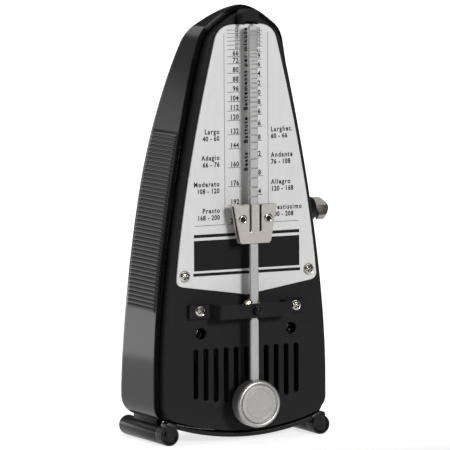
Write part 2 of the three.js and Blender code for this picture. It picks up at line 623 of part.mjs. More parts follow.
for (const [label, side] of [['left', -1], ['right', 1]]) {
  add(`plate_screw_${label}`, domedScrew(2.2, 1.3, 0.8, 4), 'nickel',
    [side * PLATE_SCREW.x, PLATE.front - TOUCH, PLATE_SCREW.z]);
  add(`bridge_screw_${label}`, domedScrew(2.2, 1.4, 0.8, 5), 'nickel',
    [side * BRIDGE_SCREW_X, BRIDGE.pad - TOUCH, PIVOT_Z]);
  add(`case_screw_${label}`, domedScrew(1.8, 1.2, 0.8, 10, 12), 'blueSteel',
    [side * CASE_SCREW.x, 3.55, CASE_SCREW.z]);
  add(`foot_${label}`, foot(side), 'glossBlack', [side * FOOT.x, 0, -FOOT.sole]);
  add(`movement_plate_${label}`, movementPlate(side), 'brass');
  // these two are driven from behind, so the screw is turned round
  add(`movement_screw_${label}`, domedScrew(2, 1.2, 0.8, 3.2, 12).rotate([0, 0, 180]), 'blueSteel',
    [side * MOVEMENT_SCREW.x, 4.2 + TOUCH, MOVEMENT_SCREW.z]);
  add(`weight_eyelet_${label}`, eyelet(), 'nickel', [side * WEIGHT.eyeX, -4.6, WEIGHT.eyeZ]);
}

add('pendulum_hub', cut(rodY(3.75, -6, -3, 0, PIVOT_Z, 24),
  rodY(STAFF_R + CLEAR, -7, -2, 0, PIVOT_Z, 12)), 'brass');
add('upper_rod', rodStrip(ROD.foot, ROD.tip, 50.4, ROD.foot + 1), 'steel');
add('lower_rod', rodStrip(16, ROD.head, ROD.head - 1, 47.6), 'steel');
add('bob', bob(), 'nickel');
add('verge_staff', rodY(STAFF_R, -7, STAFF_BACK, 0, PIVOT_Z, 12), 'blueSteel');
add('front_pallet', pallet(TRAIN_Y - 6.3, 50), 'steel');
add('rear_pallet', pallet(TRAIN_Y + 6.3, -50), 'steel');
add('weight_front_plate', weightPlate(-8, -7.2, true), 'nickel');
add('weight_rear_plate', weightPlate(-5.8, -5, false), 'nickel');

for (const [label, [y, z]] of Object.entries(PILLARS)) {
  add(`pillar_${label}`, rodX(1.5, -PLATE_X + TOUCH, PLATE_X - TOUCH, y, z, 12), 'brass');
}
add('rear_cock', rearCock(), 'brass');
add('potence', potence(), 'brass');

add('mainspring_barrel', barrel(), 'brass', [0, TRAIN_Y, KEY_Z]);
add('barrel_cover', cut(rodX(9.2, -4.3, -3.4 - TOUCH, 0, 0, 32),
  rodX(WINDING_R + CLEAR, -6, -3, 0, 0, 12)), 'brass', [0, TRAIN_Y, KEY_Z]);
add('mainspring', mainspring(), 'blueSteel', [0, TRAIN_Y, KEY_Z]);
add('winding_arbor', rodX(WINDING_R, -15.4, 37, 0, 0, 12), 'steel', [0, TRAIN_Y, KEY_Z]);
add('ratchet_wheel', ratchetWheel(), 'steel', [0, TRAIN_Y, KEY_Z]);
add('winding_key', windingKey(), 'keyMetal', [0, TRAIN_Y, KEY_Z]);
add('key_bush', cut(rodX(BUSH.r, BUSH.inner, BUSH.outer, 0, 0, 24), rodX(BUSH.bore, 20, 40, 0, 0, 12)),
  'glossBlack', [0, TRAIN_Y, KEY_Z]);
add('click', clickLever(), 'steel');
add('click_screw', join(rodX(0.6, 13.5, 17, 0, 0, 10), rodX(1.4, 16.9, 17.8, 0, 0, 14)), 'blueSteel',
  [0, CLICK_PIVOT.y, CLICK_PIVOT.z]);
add('click_spring', prismX([[4.6, 79], [5, 79], [5.9, 88.4], [5.5, 88.4]], 15.25, 16.4), 'blueSteel');

add('second_pinion', pinionArbor(8.4, 11.2, -15, 15, SECOND_Z), 'steel');
add('second_wheel', wheel(WHEEL_TEETH, -6, -5, SECOND_Z), 'brass');
add('third_pinion', pinionArbor(-6.8, -4.2, -15, 15, THIRD_Z), 'steel');
add('third_wheel', wheel(WHEEL_TEETH, 5.5, 6.5, THIRD_Z), 'brass');
add('escape_pinion', pinionArbor(4.9, 7.1, 1.4, 15, PIVOT_Z), 'steel');
add('crown_wheel', crownWheel(), 'brass');

export default metronome;
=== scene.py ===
import json
import math

import bmesh
import bpy
from mathutils import Matrix, Vector


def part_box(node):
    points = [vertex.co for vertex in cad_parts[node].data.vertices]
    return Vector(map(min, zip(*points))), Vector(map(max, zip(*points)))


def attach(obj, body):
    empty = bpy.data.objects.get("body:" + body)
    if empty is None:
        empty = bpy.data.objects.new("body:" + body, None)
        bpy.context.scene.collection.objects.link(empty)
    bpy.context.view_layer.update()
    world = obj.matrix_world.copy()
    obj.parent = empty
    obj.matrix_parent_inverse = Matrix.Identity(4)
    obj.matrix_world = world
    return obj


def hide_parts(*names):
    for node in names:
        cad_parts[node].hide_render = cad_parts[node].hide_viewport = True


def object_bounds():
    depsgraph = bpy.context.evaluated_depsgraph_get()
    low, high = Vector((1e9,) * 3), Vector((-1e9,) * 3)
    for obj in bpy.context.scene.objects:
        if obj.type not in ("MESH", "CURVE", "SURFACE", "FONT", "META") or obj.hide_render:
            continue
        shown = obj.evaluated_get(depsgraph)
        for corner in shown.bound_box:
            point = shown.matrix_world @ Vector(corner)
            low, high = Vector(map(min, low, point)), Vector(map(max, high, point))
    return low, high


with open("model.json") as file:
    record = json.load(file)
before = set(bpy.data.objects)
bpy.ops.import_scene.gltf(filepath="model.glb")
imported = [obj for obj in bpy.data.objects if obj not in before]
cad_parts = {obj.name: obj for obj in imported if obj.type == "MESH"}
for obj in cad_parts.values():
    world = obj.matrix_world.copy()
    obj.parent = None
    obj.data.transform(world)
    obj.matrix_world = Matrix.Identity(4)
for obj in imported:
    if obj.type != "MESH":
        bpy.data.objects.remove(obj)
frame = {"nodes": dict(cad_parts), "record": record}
cad_low, cad_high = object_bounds()

MM = 0.001

# ---- local axes -------------------------------------------------------------------------------
# Shapes are drawn in millimetres: x from the pendulum's plane, y from the panel's face towards the
# back, z from the ground. place() turns such a point into the frame's metres.
rod_low, rod_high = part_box("upper_rod")
panel_low, panel_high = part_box("front_panel")
ORIGIN = Vector(((rod_low.x + rod_high.x) / 2, panel_low.y, cad_low.z))


def place(x, y, z):
    return ORIGIN + Vector((x, y, z)) * MM


def local_box(node):
    """Lowest and highest corner of a CAD node, in local millimetres."""
    low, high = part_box(node)
    return (low - ORIGIN) / MM, (high - ORIGIN) / MM


def front_centre(node):
    """The middle of a CAD node's front, in local millimetres."""
    low, high = local_box(node)
    return (low.x + high.x) / 2, low.y, (low.z + high.z) / 2


# ---- materials --------------------------------------------------------------------------------
def grey(value, warmth=0.0):
    return (value * (1 + warmth), value, value * (1 - 1.6 * warmth), 1)


def surface(name, colour, rough, metal=0.0, vary=0.12, scale=400, rough_vary=0.05, bump=0.02,
            bump_scale=4000, stretch=(1, 1, 1), ior=1.5, coat=0.0, specular=0.5):
    """A finish with mottled colour and roughness and a fine surface grain, all from noise."""
    mat = bpy.data.materials.new(name)
    mat.use_nodes = True
    nodes, links = mat.node_tree.nodes, mat.node_tree.links
    shader = nodes["Principled BSDF"]
    shader.inputs["Metallic"].default_value = metal
    shader.inputs["IOR"].default_value = ior
    shader.inputs["Coat Weight"].default_value = coat
    shader.inputs["Specular IOR Level"].default_value = specular
    coords = nodes.new("ShaderNodeTexCoord")
    mapping = nodes.new("ShaderNodeMapping")
    mapping.inputs["Scale"].default_value = stretch
    links.new(coords.outputs["Object"], mapping.inputs["Vector"])

    coarse = nodes.new("ShaderNodeTexNoise")
    coarse.inputs["Scale"].default_value = scale
    coarse.inputs["Detail"].default_value = 4
    links.new(mapping.outputs["Vector"], coarse.inputs["Vector"])
    ramp = nodes.new("ShaderNodeValToRGB")
    ramp.color_ramp.elements[0].position = 0.3
    ramp.color_ramp.elements[1].position = 0.7
    ramp.color_ramp.elements[0].color = [c * (1 - vary) for c in colour[:3]] + [1]
    ramp.color_ramp.elements[1].color = [min(c * (1 + vary), 1) for c in colour[:3]] + [1]
    links.new(coarse.outputs["Fac"], ramp.inputs["Fac"])
    links.new(ramp.outputs["Color"], shader.inputs["Base Color"])

    spread = nodes.new("ShaderNodeMapRange")
    spread.inputs["To Min"].default_value = max(rough - rough_vary, 0.02)
    spread.inputs["To Max"].default_value = rough + rough_vary
    links.new(coarse.outputs["Fac"], spread.inputs["Value"])
    links.new(spread.outputs["Result"], shader.inputs["Roughness"])

    fine = nodes.new("ShaderNodeTexNoise")
    fine.inputs["Scale"].default_value = bump_scale
    fine.inputs["Detail"].default_value = 3
    links.new(mapping.outputs["Vector"], fine.inputs["Vector"])
    relief = nodes.new("ShaderNodeBump")
    relief.inputs["Strength"].default_value = bump
    relief.inputs["Distance"].default_value = 0.1 * MM
    links.new(fine.outputs["Fac"], relief.inputs["Height"])
    links.new(relief.outputs["Normal"], shader.inputs["Normal"])
    return mat


GLOSS = surface("gloss_black_plastic", grey(0.008), 0.1, vary=0.25, scale=250, rough_vary=0.03,
                bump=0.015, bump_scale=2500, specular=0.15)
MATT = surface("matt_black_plastic", grey(0.0085), 0.55, vary=0.1, scale=700, bump=0.12, bump_scale=6000,
               specular=0.12)
PLATE_SILVER = surface("satin_silver", grey(0.58), 0.4, metal=0.2, vary=0.02, scale=900, bump=0.03,
                       bump_scale=5000, stretch=(1, 1, 0.2))
FOOT_BLACK = surface("foot_black_plastic", grey(0.004), 0.2, vary=0.2, scale=300, bump=0.03,
                     bump_scale=3000, specular=0.04)
# black for the printing, and also painted shade: the dark plug in each eyelet and the dark strip between the
# weight's plates
PRINT_AND_SHADE_BLACK = surface("print_and_painted_shade_black", grey(0.006), 0.5, vary=0.2, scale=2000, specular=0.12)
NICKEL = surface("bright_nickel", grey(0.5, 0.05), 0.14, metal=1, vary=0.06, scale=800, bump=0.02)
SATIN_NICKEL = surface("satin_nickel", grey(0.35, 0.02), 0.44, metal=1, vary=0.05, scale=1500,
                       rough_vary=0.08, bump=0.05, bump_scale=9000)
WEIGHT_NICKEL = surface("warm_nickel", grey(0.47, 0.06), 0.36, metal=1, vary=0.05, scale=1200,
                        rough_vary=0.07, bump=0.04, bump_scale=9000)
ROD_STEEL = surface("satin_steel", grey(0.36, 0.01), 0.54, metal=1, vary=0.05, scale=900, bump=0.05,
                    bump_scale=9000, stretch=(1, 1, 0.15))
KEY_METAL = surface("key_metal", grey(0.22, 0.07), 0.27, metal=1, vary=0.06, scale=900, rough_vary=0.06,
                    bump=0.04, bump_scale=7000, stretch=(0.3, 1, 1))
BRASS = surface("brass", (0.66, 0.46, 0.19, 1), 0.24, metal=1, vary=0.08, scale=1200, bump=0.03,
                bump_scale=8000, stretch=(1, 1, 0.3))
TOOL_STEEL = surface("tool_steel", grey(0.5), 0.26, metal=1, vary=0.08, scale=1500, bump=0.03,
                     stretch=(0.2, 1, 1))
PALE_BRASS = surface("pale_brass", (0.66, 0.55, 0.36, 1), 0.26, metal=1, vary=0.08, scale=1200,
                     bump=0.03)
BLUED = surface("blued_steel", (0.04, 0.043, 0.05, 1), 0.3, metal=1, vary=0.15, scale=1500)
GLOSS_SATIN = surface("satin_black_plastic", grey(0.006), 0.33, vary=0.12, scale=500, bump=0.05,
                      bump_scale=5000, specular=0.18)

SLOT_FINISH = {
    "gloss_black": GLOSS, "matt_black": MATT, "scale_silver": PLATE_SILVER, "nickel": NICKEL,
    "rod_steel": ROD_STEEL, "key_metal": KEY_METAL, "brass": BRASS, "tool_steel": TOOL_STEEL,
    "blued_steel": BLUED,
}


# ---- mesh helpers -----------------------------------------------------------------------------
def finish_mesh(mesh, sharp=32):
    mesh.polygons.foreach_set("use_smooth", [True] * len(mesh.polygons))
    mesh.set_sharp_from_angle(angle=math.radians(sharp))
    mesh.update()


def piece(name, mesh, mat, slot, body, *nodes, sharp=32):
    """Puts a finished mesh in the scene as one piece that rides on a body and stands for CAD nodes."""
    mesh.name = name
    finish_mesh(mesh, sharp)
    mesh.materials.clear()
    mesh.materials.append(mat)
    obj = bpy.data.objects.new(name, mesh)
    bpy.context.scene.collection.objects.link(obj)
    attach(obj, body)
    if nodes:
        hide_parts(*nodes)
    return obj


def merged(*meshes):
    """One mesh out of several."""
    verts, faces = [], []
    for mesh in meshes:
        base = len(verts)
        verts += [v.co.copy() for v in mesh.vertices]
        faces += [[base + i for i in p.vertices] for p in mesh.polygons]
    whole = bpy.data.meshes.new("merged")
    whole.from_pydata(verts, [], faces)
    return whole


AXES = {
    "y": lambda u, v, w: (u, w, v),      # an outline in (x, z), thick along y
    "x": lambda u, v, w: (w, u, v),      # an outline in (y, z), thick along x
    "z": lambda u, v, w: (u, v, w),      # an outline in (x, y), thick along z
}


def prism(outlines, low, high, bevel=0.2, axis="y", steps=1):
    """A plate with bevelled edges: the first outline is its edge and the others are holes."""
    curve = bpy.data.curves.new("outline", "CURVE")
    curve.dimensions = "2D"
    curve.fill_mode = "BOTH"
    curve.extrude = max((high - low) / 2 - bevel, 0)
    curve.bevel_depth = bevel
    curve.bevel_resolution = steps
    curve.offset = -bevel
    for outline in outlines:
        spline = curve.splines.new("POLY")
        spline.points.add(len(outline) - 1)
        for point, (u, v) in zip(spline.points, outline):
            point.co = (u, v, 0, 1)
        spline.use_cyclic_u = True
    obj = bpy.data.objects.new("outline", curve)
    mesh = bpy.data.meshes.new_from_object(obj)
    bpy.data.objects.remove(obj)
    bpy.data.curves.remove(curve)
    middle = (low + high) / 2
    for vertex in mesh.vertices:
        u, v, w = vertex.co
        vertex.co = place(*AXES[axis](u, v, w + middle))
    return tidy(mesh)


def tidy(mesh):
    """Merges doubled vertices and makes the faces point outwards."""
    bm = bmesh.new()
    bm.from_mesh(mesh)
    bmesh.ops.remove_doubles(bm, verts=bm.verts, dist=1e-7)
    bmesh.ops.recalc_face_normals(bm, faces=bm.faces)
    bm.to_mesh(mesh)
    bm.free()
    return mesh


def skin(rings, closed=True, caps=True):
    """A mesh over rings of equally many local points."""
    count = len(rings[0])
    verts = [place(*p) for ring in rings for p in ring]
    faces = []
    for level in range(len(rings) - 1):
        for i in range(count if closed else count - 1):
            a = level * count + i
            b = level * count + (i + 1) % count
            faces.append((a, b, b + count, a + count))
    if caps:
        faces.append(tuple(range(count - 1, -1, -1)))
        faces.append(tuple(range((len(rings) - 1) * count, len(rings) * count)))
    mesh = bpy.data.meshes.new("skin")
    mesh.from_pydata(verts, [], faces)
    return tidy(mesh)


def turned(profile, middle, axis="y", sides=64):
    """A lathe form: profile is [radius, distance along the axis], turned about the middle."""
    rings = []
    for radius, along in profile:
        ring = []
        for i in range(sides):
            a = 2 * math.pi * i / sides
            u, v = radius * math.cos(a), radius * math.sin(a)
            if axis == "y":
                ring.append((middle[0] + u, middle[1] + along, middle[2] + v))
            else:
                ring.append((middle[0] + along, middle[1] + u, middle[2] + v))
        rings.append(ring)
    return skin(rings)


def circle(x, y, r, count=32):
    return [(x + r * math.cos(2 * math.pi * i / count), y + r * math.sin(2 * math.pi * i / count))
            for i in range(count)]


def arc(x, y, r, start, end, count):
    """Points on an arc, angles in degrees."""
    turns = [math.radians(start + (end - start) * i / count) for i in range(count + 1)]
    return [(x + r * math.cos(t), y + r * math.sin(t)) for t in turns]


def rounded(points, radii, steps=5):
    """A polygon whose corners are rounded, each with its own radius."""
    out = []
    for i, (x, y) in enumerate(points):
        r = radii[i] if isinstance(radii, (list, tuple)) else radii
        here = Vector((x, y))
        back = Vector(points[i - 1]) - here
        on = Vector(points[(i + 1) % len(points)]) - here
        r = min(r, back.length * 0.49, on.length * 0.49)
        if r <= 0:
            out.append((x, y))
            continue
        a = here + back.normalized() * r
        b = here + on.normalized() * r
        for k in range(steps + 1):
            t = k / steps
            out.append(tuple(a.lerp(here, t).lerp(here.lerp(b, t), t)))
    return out


def quad(p0, p1, p2, count):
    """Points on a quadratic curve, the last one included."""
    a, b, c = Vector(p0), Vector(p1), Vector(p2)
    return [tuple(a.lerp(b, i / count).lerp(b.lerp(c, i / count), i / count)) for i in range(count + 1)]


def box_mesh(low, high, bevel=0.2, axis="y"):
    corners = {"y": (0, 2, 1), "x": (1, 2, 0), "z": (0, 1, 2)}[axis]
    u, v, w = corners
    outline = [(low[u], low[v]), (high[u], low[v]), (high[u], high[v]), (low[u], high[v])]
    return prism([rounded(outline, bevel, 2)], low[w], high[w], bevel * 0.7, axis)


# ---- the case's outline -----------------------------------------------------------------------
shell_low, shell_high = local_box("rear_housing")
CASE_HALF = -shell_low.x
TOP = shell_high.z
SHOULDER = (17.7, 146)
SHOULDER_CURVE = (16.8, 150.8)
CROWN = (12.4, 153.8)
BELLY = {"x": 32.6, "z": 9.0, "low": 3.0}
CORNER = ((35.2, 10.4), (CASE_HALF, 14.5))
STRAIGHT = 22
SWELL = 69.3
WALL_FRONT = 4.9        # where the side wall begins behind the panel's face
ROOF_FRONT = 3.2        # the same at the roof
BELLY_FRONT = 9.3       # the same at the belly
ROOF_LEAN = (138, 14)   # height at which the wall starts to lean forward, and over how far
SPINE = (34, 118)       # the heights that the back is drawn towards
WALL = 2.0
RIBS = {"low": 48.5, "high": 112.9, "count": 42, "height": 0.45, "front": 5.8}
CORNER_R = 4
COLLAR = 2.5
EDGE = 0.3


def half_outline(side_steps):
    """The right half's outline from the belly's end up to the top of the roof."""
    flank = quad((CASE_HALF, STRAIGHT), (CASE_HALF, SWELL), SHOULDER, 40)
    rising = quad((BELLY["x"], BELLY["z"]), *CORNER, 8)[:-1]
    for z in side_levels(side_steps):
        rising.append((half_at(z, flank), z))
    rising += quad(SHOULDER, SHOULDER_CURVE, CROWN, 8)
    rising += quad(CROWN, (5, TOP), (0, TOP), 14)[1:]
    return rising


def side_levels(side_steps):
    """Heights up the flank: a few below and above the ribs, and side_steps to each rib."""
    low, high = CORNER[1][1], SHOULDER[1]
    levels = [low + (RIBS["low"] - low) * i / 20 for i in range(20)]
    count = RIBS["count"] * side_steps
    levels += [RIBS["low"] + (RIBS["high"] - RIBS["low"]) * i / count for i in range(count)]
    return levels + [RIBS["high"] + (high - RIBS["high"]) * i / 24 for i in range(24)]


def half_at(z, flank):
    if z <= STRAIGHT:
        return CASE_HALF
    for (x0, z0), (x1, z1) in zip(flank, flank[1:]):
        if z <= z1:
            return x0 + (x1 - x0) * (z - z0) / (z1 - z0)
    return flank[-1][0]


def belly_points(count=36):
    low = 2 * BELLY["low"] - BELLY["z"]
    return quad((-BELLY["x"], BELLY["z"]), (0, low), (BELLY["x"], BELLY["z"]), count)


def outline(side_steps):
    """The whole outline, counter-clockwise seen from the front, and how many points are belly."""
    belly = belly_points()
    right = half_outline(side_steps)[1:]
    left = [(-x, z) for x, z in reversed(right[:-1])]
    return belly + right + left, len(belly)


def inset(points, side, belly=None, belly_count=0):
    moved = []
    for i, (x, z) in enumerate(points):
        x0, z0 = points[i - 1]
        x1, z1 = points[(i + 1) % len(points)]
        inward = Vector((z0 - z1, x1 - x0)).normalized()
        step = belly if belly is not None and 0 < i < belly_count - 1 else side
        moved.append((x + inward.x * step, z + inward.y * step))
    return moved


def cubic(a, b, c, d, count=40):
    """Points on a cubic curve, as (depth, height)."""
    points = []
    for step in range(count + 1):
        t = step / count
        weights = ((1 - t) ** 3, 3 * t * (1 - t) ** 2, 3 * t * t * (1 - t), t ** 3)
        points.append(tuple(sum(w * p[k] for w, p in zip(weights, (a, b, c, d))) for k in (0, 1)))
    return points


# the back's profile as (depth, height): the turned-under foot, the long flank and the nose
BACK_TOP = (10.7, 158)
BACK_TOP_SLOPE = 1.4
BACK_POINTS = quad((30.9, 8), (35.7, 9), (35.7, 18), 12)
BACK_POINTS += cubic((35.7, 18), (33, 45), (33.6, 75), (32.5, 95))[1:]
BACK_POINTS += cubic((32.5, 95), (31.8, 110), (26, 145), BACK_TOP)[1:]


def back_depth(z):
    """How deep the case is at a height."""
    if z <= BACK_POINTS[0][1]:
        return BACK_POINTS[0][0]
    for (y0, z0), (y1, z1) in zip(BACK_POINTS, BACK_POINTS[1:]):
        if z <= z1:
            return y0 + (y1 - y0) * (z - z0) / (z1 - z0)
    return BACK_TOP[0] - BACK_TOP_SLOPE * (z - BACK_TOP[1])


def front_edge(z):
    """Where the side wall begins: straight on the flanks, leaning forward to the roof."""
    start, run = ROOF_LEAN
    if z < start:
        return WALL_FRONT
    return WALL_FRONT + (ROOF_FRONT - WALL_FRONT) * min((z - start) / run, 1)


def rib_height(x, y, z):
    """How far a point of the flank stands out: half-round ribs, side by side, with rounded ends."""
    if not RIBS["low"] < z < RIBS["high"] or abs(x) < 15:
        return 0.0
    along = (z - RIBS["low"]) / (RIBS["high"] - RIBS["low"]) * RIBS["count"]
    across = 2 * (along % 1) - 1
    bulge = math.sqrt(max(1 - across * across, 0))
    back = back_depth(z) - CORNER_R - 0.5
    ends = min(y - RIBS["front"], back - y) / 0.7
    return RIBS["height"] * bulge * math.sqrt(min(max(ends, 0), 1))


def wall_start(z, on_belly):
    return BELLY_FRONT if on_belly else front_edge(z)


def rear_radius(z, first):
    """The radius of the round rear edge, less where the case is shallow."""
    return min(CORNER_R, (back_depth(z) - first) * 0.8)


def flank_rings(points, belly_count):
    """The side wall from its rounded front edge to where the rear edge starts to turn."""
    rings = []
    for turn in (0, 22.5, 45, 67.5):
        a = math.radians(turn)
        moved = inset(points, EDGE * (1 - math.sin(a)))
        rings.append([[x, wall_start(points[i][1], i < belly_count) + EDGE * (1 - math.cos(a)), z]
                      for i, (x, z) in enumerate(moved)])
    # finer steps at both ends, where the ribs end
    spots = [0, 0.02, 0.035, 0.05, 0.07, 0.1] + [0.1 + 0.09 * i for i in range(1, 9)]
    spots += [0.88, 0.92, 0.94, 0.955, 0.97, 0.985, 1]
    for t in spots:
        ring = []
        for i, (x, z) in enumerate(points):
            first = wall_start(z, i < belly_count) + EDGE
            ring.append([x, first + (back_depth(z) - rear_radius(z, first) - first) * t, z])
        rings.append(ring)
    for ring in rings:
        for point in ring:
            point[0] += math.copysign(rib_height(*point), point[0])
    return rings


def back_rings(points, belly_count, edge_steps=8, face_steps=10):
    """The round rear edge, then the back, drawn towards a spine up the middle."""
    rings = []
    for step in range(1, edge_steps + face_steps + 1):
        ring = []
        for i, (x, z) in enumerate(points):
            target = Vector((0, min(max(z, SPINE[0]), SPINE[1])))
            here = Vector((x, z))
            run = (target - here).length
            first = wall_start(z, i < belly_count) + EDGE
            r = rear_radius(z, first)
            if step <= edge_steps:
                a = math.radians(90 * step / edge_steps)
                d = r * (1 - math.cos(a))
            else:
                a = math.pi / 2
                d = r + (run - r) * ((step - edge_steps) / face_steps)
            spot = here + (target - here) * min(d / run, 1)
            lift = r * (1 - math.sin(a))
            level = back_depth(spot.y) if step > 4 else back_depth(z) + (
                back_depth(spot.y) - back_depth(z)) * step / 4
            ring.append([spot.x, max(level - lift, first), spot.y])
        rings.append(ring)
    return rings


def case_shell():
    points, belly_count = outline(8)
    rings = flank_rings(points, belly_count) + back_rings(points, belly_count)
    mesh = skin(rings, caps=False)
    obj = piece("case_shell", mesh, GLOSS, "gloss_black", "case", "rear_housing", sharp=50)
    thicken = obj.modifiers.new("wall", "SOLIDIFY")
    thicken.thickness = WALL * MM
    thicken.offset = -1
    return obj


def slot_hole(x):
    low = 14.4 + 0.005 * x * x
    return arc(x, 33.95, 0.9, 0, 180, 8) + arc(x, low + 0.9, 0.9, 180, 360, 8)


def front_panel():
    points, belly_count = outline(1)
    edge = inset(points, COLLAR, 0.9, belly_count)
    inner = inset(points, COLLAR + 1.6, 2.5, belly_count)
    holes = [slot_hole((i - 5) * 4.12) for i in range(11)]
    for side in (-1, 1):
        holes.append(circle(side * 18.5, 40.5, 2.1))
    face = prism([edge, *holes], 0, 2.2, 0.35)
    rim = prism([edge, inner], 1.9, 9, 0.1)
    floors = [turned([(0, 0), (2.9, 0), (2.9, 1.5), (0, 1.5)], (side * 18.5, 3.7, 40.5), sides=32)
              for side in (-1, 1)]
    return piece("panel_tray", merged(face, rim, *floors), MATT, "matt_black", "case", "front_panel",
                 sharp=20)


def plate_outline():
    right = [(0, 54)] + rounded_corner() + quad((28.6, 61), (25.1, 98), (12.45, 148), 24)[1:]
    right += quad((12.45, 148), (10.6, 152.9), (4.8, 152.9), 10)[1:]
    left = [(-x, z) for x, z in reversed(right[1:])]
    return right + left


def rounded_corner():
    return quad((26, 58), (28.9, 58.5), (28.6, 61), 8)


def scale_plate():
    low, high = local_box("scale_plate")
    mesh = prism([plate_outline()], low.y, high.y, 0.16)
    return piece("plate_sheet", mesh, PLATE_SILVER, "scale_silver", "case", "scale_plate", sharp=20)


# ---- printing on the plate --------------------------------------------------------------------
PRINT_Y = local_box("scale_plate")[0].y
INK = 0.03
print_parts = []


def bar(x0, x1, z0, z1):
    corners = [(x0, z0), (x1, z0), (x1, z1), (x0, z1)]
    print_parts.append(prism([corners], PRINT_Y - INK, PRINT_Y + 0.05, 0.004))


def text(words, x, z, height, align="LEFT", squeeze=0.85, spacing=1.0, turn=0, bold=0.0):
    curve = bpy.data.curves.new("words", "FONT")
    curve.body = words
    curve.size = height / 0.72
    curve.space_character = spacing
    curve.align_x = align
    curve.resolution_u = 3
    curve.offset = bold
    obj = bpy.data.objects.new("words", curve)
    mesh = bpy.data.meshes.new_from_object(obj)
    bpy.data.objects.remove(obj)
    bpy.data.curves.remove(curve)
    a = math.radians(turn)
    for vertex in mesh.vertices:
        u, v = vertex.co.x * squeeze, vertex.co.y
        vertex.co = place(x + u * math.cos(a) - v * math.sin(a), PRINT_Y - INK,
                          z + u * math.sin(a) + v * math.cos(a))
    print_parts.append(mesh)


LEFT_TEMPI = (40, 44, 48, 52, 56, 60, 66, 72, 80, 88, 96, 104, 112, 120, 132, 144, 160, 176, 192, 208)
RIGHT_TEMPI = (42, 46, 50, 54, 58, 63, 69, 76, 84, 92, 100, 108, 116, 126, 138, 152, 168, 184, 200)


def tick_height(tempo):
    """The height of a tempo's line: even steps above 60, closing up below it."""
    if tempo >= 60:
        return 143.8 - 0.4305 * (tempo - 60)
    return 143.8 + 0.408 * (60 - tempo) - 0.00275 * (60 - tempo) ** 2


def scale_print():
    for tempi, x0, x1, number_x in ((LEFT_TEMPI, -7.6, -2.4, -3.05), (RIGHT_TEMPI, 2.4, 6.6, 5.9)):
        for tempo in tempi:
            z = tick_height(tempo)
            bar(x0, x1, z - 0.085, z + 0.085)
            crowded = tempo < 64
            text(str(tempo), number_x, z + (0.2 if crowded else 0.38), 1.05 if crowded else 1.85, "RIGHT",
                 0.86, 1.1, bold=0.03 if crowded else 0.08)
    for side in (-1, 1):
        bar(side * 8.9 - 0.07, side * 8.9 + 0.07, 80.1, 149.9)
        bar(*sorted((side * 8.9, side * 21.3)), 80.02, 80.18)
    bar(-21.6, 21.6, 75.75, 76.9)
    bar(-21.6, 21.6, 63.6, 74.7)
    bar(-21.9, 21.9, 61.7, 62.8)
    words = (
        ("Largo", "40 - 60", -11, 114.2), ("Adagio", "66 - 76", -11, 104.7),
        ("Moderato", "108 - 120", -11.1, 95.1), ("Presto", "168 - 200", -11, 85.4),
        ("Larghet.", "60 - 66", 10.1, 114.2), ("Andante", "76 - 108", 10.1, 104.8),
        ("Allegro", "120 - 168", 10.1, 94.9), ("Prestissimo", "200 - 208", 10.1, 85.5),
    )
    for word, span, x, z in words:
        align = "RIGHT" if x < 0 else "LEFT"
        text(word, x, z - 0.85, 1.8, align, 0.82, 1.3, bold=0.08)
        text(span, x, z - 3.35, 1.75, align, 0.86, 1.12, bold=0.08)
    for word, z in (("Beats", 99.3), ("Battute", 109.5), ("Battements per minute", 121.5)):
        text(word, 0.55, z, 1.6, "LEFT", 1.0, 1.42, turn=90, bold=0.1)
    return piece("scale_print", merged(*print_parts), PRINT_AND_SHADE_BLACK, "matt_black", "case", sharp=20)


# ---- bridge, catch and screws -----------------------------------------------------------------
def bridge():
    low, high = local_box("pendulum_bridge")
    front, pad = low.y, -1.6
    strap = [(-24, -0.05), (-24, pad), (-15.7, pad), (-14.7, front), (14.7, front), (15.7, pad),
             (24, pad), (24, -0.05), (14.3, -0.05), (13.4, front + 1.2), (-13.4, front + 1.2),
             (-14.3, -0.05)]
    shape = rounded(strap, [0.3, 0.5, 1.0, 0.8, 0.8, 1.0, 0.5, 0.3, 0.8, 0.6, 0.6, 0.8], 4)
    mesh = prism([shape], low.z, high.z, 0.28, "z")
    return piece("bridge_strap", mesh, MATT, "matt_black", "case", "pendulum_bridge", sharp=20)


def catch():
    low, high = local_box("pendulum_catch")
    shape = rounded([(low.x, low.z), (-2.2, low.z), (-2.2, low.z + 1.2), (2.2, low.z + 1.2),
                     (2.2, low.z), (high.x, low.z), (high.x, high.z), (low.x, high.z)],
                    [0.5, 0.3, 0.3, 0.3, 0.3, 0.5, 2.2, 2.2], 6)
    mesh = prism([shape], low.y, high.y, 0.35)
    return piece("catch_block", mesh, MATT, "matt_black", "case", "pendulum_catch", sharp=20)


